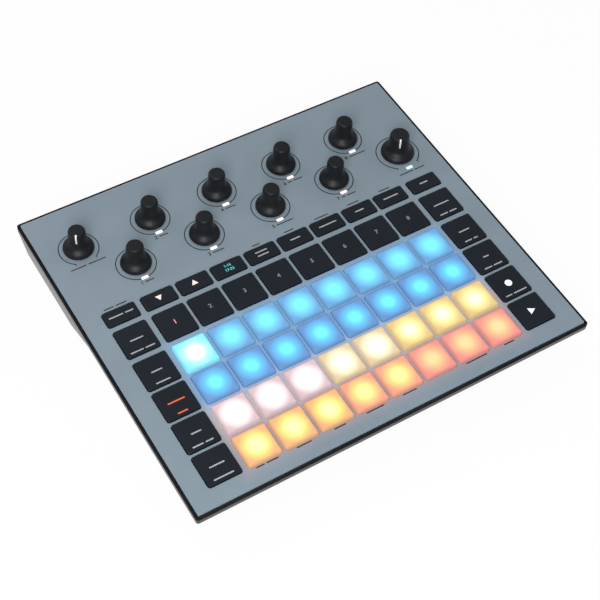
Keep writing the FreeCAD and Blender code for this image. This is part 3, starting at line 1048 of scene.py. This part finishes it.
@dataclass
class Keys:
    """The lit pads and the dark keys."""

    layout: Layout
    finishes: Finishes
    edge: float = 0.45
    base_edge: float = 0.2
    base_drop: float = 0.2

    def build(self) -> None:
        """Make every pad and every group of keys."""
        tree = key_tree()
        base_top = self.layout.face - FACE_THICKNESS - self.base_drop
        for row in range(PAD_ROWS):
            for col in range(PAD_COLS):
                node = f"pad_row{row + 1}_col{col + 1}"
                centre = centre_mm(node)
                light = PAD_LIGHTS[row][col]
                half = self.layout.key / 2 * MM
                silicone = LitRubber("lit_" + node, light, centre * MM, half).build()
                meshes = self.blocks(tree, [(centre.x, centre.y)], self.layout.key, base_top, node, silicone)
                finish_mesh("lit_" + node, joined(meshes), silicone, node + "_body", (node,), 40.0)
        for node in ("function_keys", "track_keys", "left_keys", "right_keys"):
            depth = self.layout.small_depth if node == "function_keys" else self.layout.key
            places = self.layout.group(node)
            silicone = self.finishes.dark_key
            meshes = self.blocks(tree, places, depth, base_top, node, silicone)
            finish_mesh("dark_" + node, joined(meshes), silicone, node + "_body", (node,), 40.0)

    def blocks(self, tree: bpy.types.NodeTree, places: list[Point], depth: float, base_top: float, node: str,
               material: bpy.types.Material) -> list[bpy.types.Mesh]:
        """The key tops and their wider bases.

        Args:
            tree: The key tree.
            places: Each key's centre.
            depth: The key's depth.
            base_top: The level where its base ends.
            node: The frame's node, for its levels.
            material: The silicone.

        Returns:
            The two meshes.
        """
        low, high = span_mm(node)
        levels = ((base_top, high.z, 0.0, self.edge), (low.z, base_top, 2 * KEY_LIP, self.base_edge))
        meshes = []
        for bottom, top, lip, edge in levels:
            points = [Vector((x * MM, y * MM, bottom * MM)) for x, y in places]
            width = self.layout.key + lip
            meshes.append(grow(tree, points, material, Width=width * MM, Depth=(depth + lip) * MM,
                               Corner=KEY_CORNER * MM, Height=(top - bottom) * MM, Edge=edge * MM))
        return meshes


@dataclass
class Knobs:
    """The soft knobs, their pointers and their shafts."""

    layout: Layout
    finishes: Finishes
    lift: float = 0.4
    shaft_radius: float = 3.0
    cap_radius: float = 4.95
    filter_cap_radius: float = 5.85
    pointer_width: float = 0.95
    pointer_depth: float = 0.25
    pointer_start: float = 9.0
    pointer_turn: float = math.radians(-90 - 30)
    inlay_lift: float = 0.03

    def profile(self, skirt: float, cap: float, height: float, shaft_end: float) -> list[Point]:
        """The turned outline of a knob.

        Args:
            skirt: The skirt's radius.
            cap: The cap's radius.
            height: The knob's height above the face.
            shaft_end: The level of the shaft's foot.

        Returns:
            Its radius and level at each point.
        """
        flare = skirt - cap
        shares = ((0.93, 2.3), (0.84, 2.9), (0.69, 3.5), (0.52, 4.05), (0.365, 4.6), (0.235, 5.2), (0.13, 5.9),
                  (0.055, 6.7), (0.015, 7.6))
        face = self.layout.face
        foot = face + self.lift
        points = [(0.0, shaft_end), (self.shaft_radius, shaft_end), (self.shaft_radius, foot)]
        rim = ((-0.30, 0.0), (-0.08, 0.08), (0.0, 0.32), (-0.03, 1.0), (-0.12, 1.5))
        points += [(skirt + out, foot + up) for out, up in rim]
        points += [(cap + share * flare, face + level) for share, level in shares]
        top = ((0.0, -6.0), (-0.08, -2.2), (-0.16, -1.35), (-0.36, -0.75), (-0.66, -0.34), (-1.05, -0.1),
               (-1.5, 0.0))
        points += [(cap + out, face + height + down) for out, down in top]
        return points + [(0.0, face + height)]

    def build(self) -> None:
        """Make the knobs, and a pointer on the two that have one."""
        for name, place in self.layout.knobs.items():
            low, high = span_mm(name)
            skirt = (high.x - low.x) / 2
            cap = self.filter_cap_radius if name == "filter_knob" else self.cap_radius
            profile = self.profile(skirt, cap, high.z - self.layout.face - self.inlay_lift, low.z)
            mesh = turned_mesh(profile, place.x, place.y)
            finish_mesh("soft_" + name, mesh, self.finishes.knob, name + "_body", (name,), 50.0)
            if "encoder" not in name:
                self.point(name, profile, place)

    def point(self, name: str, profile: list[Point], place: Vector) -> None:
        """Inlay the white pointer from the top face down the cap.

        Args:
            name: The knob's name.
            profile: The knob's outline.
            place: The knob's axis.
        """
        crown = [p for p in profile if p[1] > self.layout.face + self.pointer_start and p[0] > 0]
        along = Vector((math.cos(self.pointer_turn), math.sin(self.pointer_turn)))
        across = Vector((-along.y, along.x)) * self.pointer_width / 2
        shape = bmesh.new()
        rows = []
        for lift in (self.inlay_lift, -self.pointer_depth):
            ring = []
            for radius, level in crown:
                reach = along * (radius + lift)
                spots = [reach - across, reach + across]
                ring.append([shape.verts.new(((place.x + s.x) * MM, (place.y + s.y) * MM, (level + lift) * MM))
                             for s in spots])
            rows.append(ring)
        outer, inner = rows
        for i in range(len(crown) - 1):
            shape.faces.new([outer[i][0], outer[i][1], outer[i + 1][1], outer[i + 1][0]])
            shape.faces.new([inner[i][1], inner[i][0], inner[i + 1][0], inner[i + 1][1]])
            shape.faces.new([outer[i][0], outer[i + 1][0], inner[i + 1][0], inner[i][0]])
            shape.faces.new([outer[i + 1][1], outer[i][1], inner[i][1], inner[i + 1][1]])
        for i in (0, -1):
            shape.faces.new([outer[i][0], outer[i][1], inner[i][1], inner[i][0]])
        finish_mesh(name + "_pointer", written(shape, "pointer"), self.finishes.white_ink,
                    name + "_body", sharp=60.0)


@dataclass
class Marks:
    """Plain figures, arrows and short bars where the object has legends."""

    layout: Layout
    finishes: Finishes
    figure: float = 2.3
    track_figure: float = 2.3 * 1.15
    page_figure: float = 1.7
    font_share: float = 1.4
    bolder: float = 0.09
    page_drop: float = 1.5
    bar: float = 0.7
    key_bar: float = 0.8
    gap: float = 1.0
    depth: float = 0.1
    edge: float = 0.005
    legend_drop: float = 13.7
    legend_shift: float = 1.4
    volume_drop: float = 12.4
    filter_drop: float = 15.8
    front_gap: float = 1.4
    back_gap: float = 2.2
    second_drop: float = 7.3
    dot_radius: float = 2.1

    def build(self) -> None:
        """Print the marks on the faceplate and on the keys."""
        self.panel_marks()
        self.track_figures()
        self.small_key_marks()
        for node in ("left_keys", "right_keys"):
            self.side_key_marks(node)
        self.transport_marks()

    def flat(self, outlines: list[list[Point]], level: float) -> bpy.types.Mesh:
        """Thin marks whose top is at a level."""
        return plate_mesh(outlines, level - self.depth, level, self.edge)

    def bars(self, bars: list[Bar], level: float, thick: float) -> bpy.types.Mesh:
        """Round-ended bars of one width.

        Args:
            bars: Each bar's centre and length.
            level: The level of their top.
            thick: Their width.

        Returns:
            The mesh in metres.
        """
        outlines = []
        for x, y, length in bars:
            a, b = length / 2, thick / 2
            outlines.append(rounded_rectangle(x - a, x + a, y - b, y + b, b * 0.98, 3))
        return self.flat(outlines, level)

    def text(self, words: str, x: float, y: float, level: float, size: float) -> bpy.types.Mesh:
        """Figures as a thin solid.

        Args:
            words: The figures.
            x: Their centre.
            y: Their centre.
            level: The level of their top.
            size: Their height.

        Returns:
            The mesh in metres.
        """
        curve = bpy.data.curves.new("figures", "FONT")
        curve.body = words
        curve.size = size * MM * self.font_share
        curve.align_x = "CENTER"
        curve.align_y = "CENTER"
        curve.extrude = self.depth / 2 * MM
        curve.offset = self.bolder * MM
        curve.resolution_u = 4
        source = bpy.data.objects.new("figures", curve)
        bpy.context.scene.collection.objects.link(source)
        mesh = bake(source)
        mesh.transform(Matrix.Translation((x * MM, y * MM, (level - self.depth / 2) * MM)))
        return written(merged(mesh), "figures")

    def on_keys(self, name: str, meshes: list[bpy.types.Mesh], material: bpy.types.Material, node: str) -> None:
        """Set marks of one ink or light on a group of keys."""
        finish_mesh(name, joined(meshes), material, node + "_body")

    def words(self, x: float, y: float, lengths: tuple[float, ...]) -> list[Bar]:
        """The bars of one legend, a bar for each word, centred on a point.

        Args:
            x: The legend's centre.
            y: The legend's centre.
            lengths: Each word's length.

        Returns:
            Each bar's centre and length.
        """
        left = x - (sum(lengths) + self.gap * (len(lengths) - 1)) / 2
        bars = []
        for length in lengths:
            bars.append((left + length / 2, y, length))
            left += length + self.gap
        return bars

    def panel_marks(self) -> None:
        """Number the encoders and mark the places of the other legends in black."""
        level = self.layout.face + PRINT_LIFT
        meshes, bars = [], []
        names = ((5.4,), (5.6,), (7.2,), (6.6,), (10.6,), (2.8, 5.8), (2.8, 5.8), (11.0,))
        for number, lengths in enumerate(names, 1):
            place = self.layout.knobs[f"encoder_knob_{number}"]
            y = place.y - self.legend_drop
            half = (sum(lengths) + self.gap * (len(lengths) - 1)) / 2
            meshes.append(self.text(str(number), place.x - half - 0.5, y, level, self.figure))
            bars += self.words(place.x + self.legend_shift, y, lengths)
        dials = (("volume_knob", self.volume_drop, (9.4, 10.6)), ("filter_knob", self.filter_drop, (9.2, 7.0)))
        for name, drop, lengths in dials:
            place = self.layout.knobs[name]
            bars += self.words(place.x, place.y - drop, lengths)
        front = self.layout.rows[-1] - self.layout.key / 2 - self.front_gap
        below = ((4.8, 7.2), (8.8,), (7.0,), (11.0,), (8.6,), (), (13.4,), (6.8,))
        back = self.layout.small + self.layout.small_depth / 2 + self.back_gap
        above = ((6.0, 6.6), (), (), (), (4.8,), (6.2,), (9.0,), (8.0,), (7.6,))
        for x, lengths in zip(self.layout.columns, below):
            bars += self.words(x, front, lengths)
        for x, lengths in zip([-self.layout.side] + self.layout.columns, above):
            bars += self.words(x, back, lengths)
        meshes.append(self.bars(bars, level, self.bar))
        finish_mesh("faceplate_marks", joined(meshes), self.finishes.black_ink, CASE_BODY)

    def track_figures(self) -> None:
        """Number the track keys, the first one lit."""
        level = span_mm("track_keys")[1].z + PRINT_LIFT
        figures = [self.text(str(number), x, self.layout.track, level, self.track_figure)
                   for number, x in enumerate(self.layout.columns, 1)]
        self.on_keys("track_figure_lit", figures[:1], self.finishes.lit_red, "track_keys")
        self.on_keys("track_figures", figures[1:], self.finishes.grey_ink, "track_keys")

    def small_key_marks(self) -> None:
        """Mark the small keys: arrows, page figures and short bars."""
        node = "function_keys"
        level = span_mm(node)[1].z + PRINT_LIFT
        y = self.layout.small
        columns, side = self.layout.columns, self.layout.side
        arrows = []
        for x, sign in ((columns[0], -1), (columns[1], 1)):
            tip = [(x - 1.9, y - 1.4 * sign), (x + 1.9, y - 1.4 * sign), (x, y + 1.9 * sign)]
            arrows.append(self.flat([tip], level))
        self.on_keys("page_arrows", arrows, self.finishes.lit_warm, node)
        pages = [self.text(words, columns[2], y + rise, level, self.page_figure)
                 for words, rise in (("1-16", self.page_drop), ("17-32", -self.page_drop))]
        self.on_keys("page_figures", pages, self.finishes.lit_teal, node)
        lines = ((-side, 0, (8.6, 4.8)), (columns[3], 1.3, (7.6,)), (columns[3], -1.3, (7.0,)),
                 (columns[4], 0, (6.4,)), (columns[5], 0, (11.4,)), (columns[6], 0, (5.8,)),
                 (columns[7], 0, (10.0,)), (side, 0, (5.4,)))
        bars = [bar for x, rise, lengths in lines for bar in self.words(x, y + rise, lengths)]
        self.on_keys("small_key_marks", [self.bars(bars, level, self.key_bar)], self.finishes.key_ink, node)

    def side_key_marks(self, node: str) -> None:
        """Mark a column of side keys with upper and lower bars, the left column's third pair lit.

        Args:
            node: The column's node.
        """
        left = node == "left_keys"
        side = -self.layout.side if left else self.layout.side
        level = span_mm(node)[1].z + PRINT_LIFT
        plain, lit = [], []
        rows = [self.layout.track] + self.layout.rows
        for index, (y, (main, second)) in enumerate(zip(rows, SIDE_LEGENDS[node])):
            target = lit if left and index == 2 else plain
            target += self.words(side, y, main) + self.words(side, y - self.second_drop, second)
        self.on_keys(node + "_marks", [self.bars(plain, level, self.key_bar)], self.finishes.key_ink, node)
        if lit:
            bars = [self.bars(lit, level, self.key_bar)]
            self.on_keys(node + "_lit_marks", bars, self.finishes.lit_orange, node)

    def transport_marks(self) -> None:
        """Light a dot for record and an arrow for play."""
        level = span_mm("right_keys")[1].z + PRINT_LIFT
        x = self.layout.side
        record, play = self.layout.rows[-2:]
        tip = [(x - 1.5, play - 2.2), (x + 2.4, play), (x - 1.5, play + 2.2)]
        marks = [self.flat([circle(x, record, self.dot_radius, 32)], level), self.flat([tip], level)]
        self.on_keys("record_and_play_marks", marks, self.finishes.lit_white, "right_keys")


@dataclass
class Lights:
    """The lit windows in front of the knobs."""

    layout: Layout
    finishes: Finishes
    corner: float = 0.4
    edge: float = 0.12

    def build(self) -> None:
        """Make a soft-cornered window for each light, the filter's in its own colour."""
        filter_x = self.layout.knobs["filter_knob"].x
        windows = {"knob_lights": [], "filter_light": []}
        for low, high in solid_boxes("knob_light_pipes"):
            near = abs((low.x + high.x) / 2 - filter_x) < 1.0
            outline = rounded_rectangle(low.x, high.x, low.y, high.y, self.corner, 3)
            window = plate_mesh([outline], low.z, high.z, self.edge)
            windows["filter_light" if near else "knob_lights"].append(window)
        glows = {"knob_lights": self.finishes.knob_light, "filter_light": self.finishes.filter_light}
        for name, meshes in windows.items():
            finish_mesh(name, joined(meshes), glows[name], CASE_BODY, ("knob_light_pipes",))


@dataclass
class Case:
    """The tray with its rim, and the screws under it."""

    finishes: Finishes
    dark_band: float = 1.8
    screw_radius: float = 2.6
    screw_height: float = 0.5
    screw_middle: float = 0.15
    screw_inset: float = 30.0
    screw_spacing: float = 112.0
    cross_length: float = 2.6
    cross_width: float = 0.7
    cross_low: float = 0.12
    cross_high: float = 0.02

    def build(self) -> None:
        """Make the tray and set the screws in its floor."""
        level = span_mm("lower_case")[1].z - self.dark_band
        mesh = flat_copy("lower_case", level)
        mesh.materials.append(self.finishes.case)
        mesh.materials.append(self.finishes.rim)
        for polygon in mesh.polygons:
            polygon.material_index = int(polygon.center.z / MM > level)
        finish_mesh("undercut_tray", mesh, self.finishes.case, CASE_BODY, ("lower_case",), 30.0)
        self.screws()

    def screws(self) -> None:
        """Set cross-head screws in the floor, inwards of the feet."""
        feet = [(low + high) / 2 for low, high in solid_boxes("rubber_feet")]
        across = max(foot.x for foot in feet) - self.screw_inset
        front = min(foot.y for foot in feet)
        places = [(side * across, y) for side in (-1, 1) for y in (front, front + self.screw_spacing)]
        floor = span_mm("lower_case")[0].z
        points = [Vector((x, y, floor + self.screw_middle)) * MM for x, y in places]
        heads = grow(stud_tree(), points, self.finishes.steel, Radius=self.screw_radius * MM,
                     Height=self.screw_height * MM)
        finish_mesh("base_screw_heads", heads, self.finishes.steel, CASE_BODY)
        arms = []
        sizes = (self.cross_length, self.cross_width)
        for x, y in places:
            for width, depth in (sizes, sizes[::-1]):
                outline = rounded_rectangle(x - width / 2, x + width / 2, y - depth / 2, y + depth / 2, 0.15, 2)
                arms.append(plate_mesh([outline], floor - self.cross_low, floor + self.cross_high, 0.01))
        finish_mesh("base_screw_crosses", joined(arms), self.finishes.black_ink, CASE_BODY)


@dataclass
class Sockets:
    """The noses, shields and contacts seen in the sockets of the back wall."""

    finishes: Finishes
    nose_length: float = 1.9
    jack_bore: float = 3.25
    jack_nose: float = 4.4
    mini_bore: float = 1.8
    mini_nose: float = 2.75
    bush_wall: float = 0.3
    pins: int = 5
    pin_circle: float = 3.7
    pin_radius: float = 0.5
    pin_wall: float = 0.4
    shield_radius: float = 6.35
    pin_length: float = 0.3
    pin_sink: float = 0.05
    shield_length: float = 6.0
    shield_sink: float = 0.4
    large_width: float = 12.0

    def build(self) -> None:
        """Line the jack sockets and fit the round sockets."""
        tree = ring_tree()
        self.jacks(tree)
        self.round_sockets(tree)

    def ring(self, tree: bpy.types.NodeTree, points: list[Vector], material: bpy.types.Material, inner: float,
             outer: float, length: float) -> bpy.types.Mesh:
        """Rings of one size round the Y axis, one at each point in millimetres."""
        return grow(tree, [p * MM for p in points], material, Radius=(inner + outer) / 2 * MM,
                    Wall=(outer - inner) * MM, Length=length * MM, Tilt=math.pi / 2)

    def jacks(self, tree: bpy.types.NodeTree) -> None:
        """Give each jack socket a plastic nose in the wall and a steel bush in it.

        Args:
            tree: The ring tree.
        """
        noses, bushes = [], []
        for low, high in solid_boxes("audio_sockets"):
            middle = (low + high) / 2
            large = high.x - low.x > self.large_width
            bore, nose = (self.jack_bore, self.jack_nose) if large else (self.mini_bore, self.mini_nose)
            point = Vector((middle.x, high.y + self.nose_length / 2, middle.z))
            noses.append(self.ring(tree, [point], self.finishes.socket, bore, nose, self.nose_length))
            bushes.append(self.ring(tree, [point], self.finishes.steel, bore - 0.02, bore + self.bush_wall,
                                    self.nose_length + 0.1))
        finish_mesh("jack_noses", joined(noses), self.finishes.socket, CASE_BODY)
        finish_mesh("jack_bushes", joined(bushes), self.finishes.steel, CASE_BODY)

    def round_sockets(self, tree: bpy.types.NodeTree) -> None:
        """Give each round socket its steel shield and its contacts.

        Args:
            tree: The ring tree.
        """
        shields, pins = [], []
        for low, high in solid_boxes("din_sockets"):
            middle = (low + high) / 2
            shields.append(Vector((middle.x, high.y - self.shield_length / 2 - self.shield_sink, middle.z)))
            for i in range(self.pins):
                angle = math.pi + math.pi / 4 * i
                pins.append(Vector((middle.x + self.pin_circle * math.cos(angle), high.y - self.pin_sink,
                                    middle.z - self.pin_circle * math.sin(angle))))
        radius = self.shield_radius
        mesh = self.ring(tree, shields, self.finishes.steel, radius, radius + self.bush_wall, self.shield_length)
        finish_mesh("round_socket_shields", mesh, self.finishes.steel, CASE_BODY)
        radius = self.pin_radius
        mesh = self.ring(tree, pins, self.finishes.gold, radius, radius + self.pin_wall, self.pin_length)
        finish_mesh("round_socket_contacts", mesh, self.finishes.gold, CASE_BODY)


def dress_frame(frame: dict, finishes: Finishes) -> None:
    """Give each of the frame's nodes its procedural finish.

    Args:
        frame: What the frame loader returned.
        finishes: The shared finishes.
    """
    by_slot = {
        "case_plastic": finishes.case, "panel_paint": finishes.panel, "board": finishes.board,
        "membrane": finishes.membrane, "control_metal": finishes.steel, "light_pipe": finishes.knob_light,
        "battery_wrap": finishes.wrap, "socket_plastic": finishes.socket, "socket_metal": finishes.steel,
        "foot_rubber": finishes.foot, "knob_rubber": finishes.knob, "dark_key": finishes.dark_key,
        "lit_pad": finishes.lit_white,
    }
    slots = {s["node"]: s["material_slot"] for s in frame["record"]["subparts"]}
    for node, piece in frame["nodes"].items():
        material = by_slot[slots[node]]
        piece.data.materials.clear()
        piece.data.materials.append(material)


@dataclass
class Studio:
    """The pale floor, the soft lights and the camera."""

    horizon: float = 0.14
    zenith: float = 0.46
    floor_share: float = 0.94
    floor_reach: float = 6.0

    def build(self) -> None:
        """Set up what is round the object."""
        self.floor()
        self.world()
        self.lamp("key_light", (-0.5, 0.9, 1.3), 1.1, 4.5)
        self.lamp("side_light", (1.3, 0.1, 0.9), 0.9, 1.2)
        self.lamp("front_light", (-0.5, -0.6, 0.75), 0.5, 8.6)
        self.camera()

    def floor(self) -> None:
        """Lay a floor that shows white to the camera and keeps a soft shadow."""
        mesh = bpy.data.meshes.new("floor")
        side = self.floor_reach
        corners = [(-side, -side, 0), (side, -side, 0), (side, side, 0), (-side, side, 0)]
        mesh.from_pydata(corners, [], [(0, 1, 2, 3)])
        graph = ShaderGraph("pale_floor")
        graph.put(Base_Color=(0.92, 0.92, 0.92, 1), Roughness=0.9)
        white = graph.add("ShaderNodeEmission", Strength=1.0)
        path = graph.add("ShaderNodeLightPath").outputs
        seen = graph.number("MAXIMUM", path["Is Camera Ray"], path["Is Glossy Ray"])
        mix = graph.add("ShaderNodeMixShader", Fac=graph.number("MULTIPLY", seen, self.floor_share))
        graph.join(graph.shader.outputs[0], mix.inputs[1])
        graph.join(white.outputs[0], mix.inputs[2])
        graph.join(mix.outputs[0], graph.output.inputs["Surface"])
        mesh.materials.append(graph.material)
        floor = bpy.data.objects.new("floor", mesh)
        bpy.context.scene.collection.objects.link(floor)

    def world(self) -> None:
        """Light the whole scene softly, and show white behind it."""
        world = bpy.data.worlds.new("studio")
        bpy.context.scene.world = world
        world.use_nodes = True
        graph = NodeGraph(world.node_tree)
        back = world.node_tree.nodes["Background"]
        back.inputs["Color"].default_value = (1, 1, 1, 1)
        up = graph.parts(graph.add("ShaderNodeTexCoord").outputs["Generated"])["Z"]
        height = graph.fade(up, 0.0, 0.7, self.horizon, self.zenith)
        path = graph.add("ShaderNodeLightPath").outputs
        seen = graph.number("MAXIMUM", path["Is Camera Ray"], path["Is Transmission Ray"])
        level = graph.add("ShaderNodeMapRange", Value=seen, To_Min=height, To_Max=1.0)
        graph.join(level.outputs[0], back.inputs["Strength"])

    def lamp(self, name: str, place: tuple[float, float, float], size: float, power: float) -> None:
        """Hang a soft square lamp that points at the object.

        Args:
            name: The lamp's name.
            place: Its place in metres.
            size: Its side in metres.
            power: Its power in watts.
        """
        data = bpy.data.lights.new(name, "AREA")
        data.size = size
        data.energy = power
        lamp = bpy.data.objects.new(name, data)
        lamp.location = place
        lamp.rotation_mode = "QUATERNION"
        lamp.rotation_quaternion = (-Vector(place)).to_track_quat("-Z", "Y")
        bpy.context.scene.collection.objects.link(lamp)

    def camera(self) -> None:
        """Stand the camera where the photograph was taken from."""
        data = bpy.data.cameras.new("camera")
        data.sensor_width = SENSOR_WIDTH
        data.lens = SENSOR_WIDTH * FOCAL_PIXELS / IMAGE_SIDE
        data.clip_start = 0.01
        right = CAMERA_RIGHT.normalized()
        back = right.cross(CAMERA_UP).normalized()
        up = back.cross(right)
        turn = Matrix((right, up, back)).transposed().to_4x4()
        camera = bpy.data.objects.new("camera", data)
        camera.matrix_world = Matrix.Translation(CAMERA_PLACE) @ turn
        bpy.context.scene.collection.objects.link(camera)
        bpy.context.scene.camera = camera


def main() -> None:
    """Load the frame, dress it and light it."""
    logging.basicConfig(level=logging.INFO, format="%(message)s")
    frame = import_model()
    bpy.context.scene.view_settings.view_transform = "Standard"
    finishes = Finishes()
    layout = Layout()
    dress_frame(frame, finishes)
    Faceplate(layout, finishes).build()
    Keys(layout, finishes).build()
    Knobs(layout, finishes).build()
    Lights(layout, finishes).build()
    Marks(layout, finishes).build()
    Case(finishes).build()
    Sockets(finishes).build()
    Studio().build()
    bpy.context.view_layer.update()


if __name__ == "__main__":
    main()
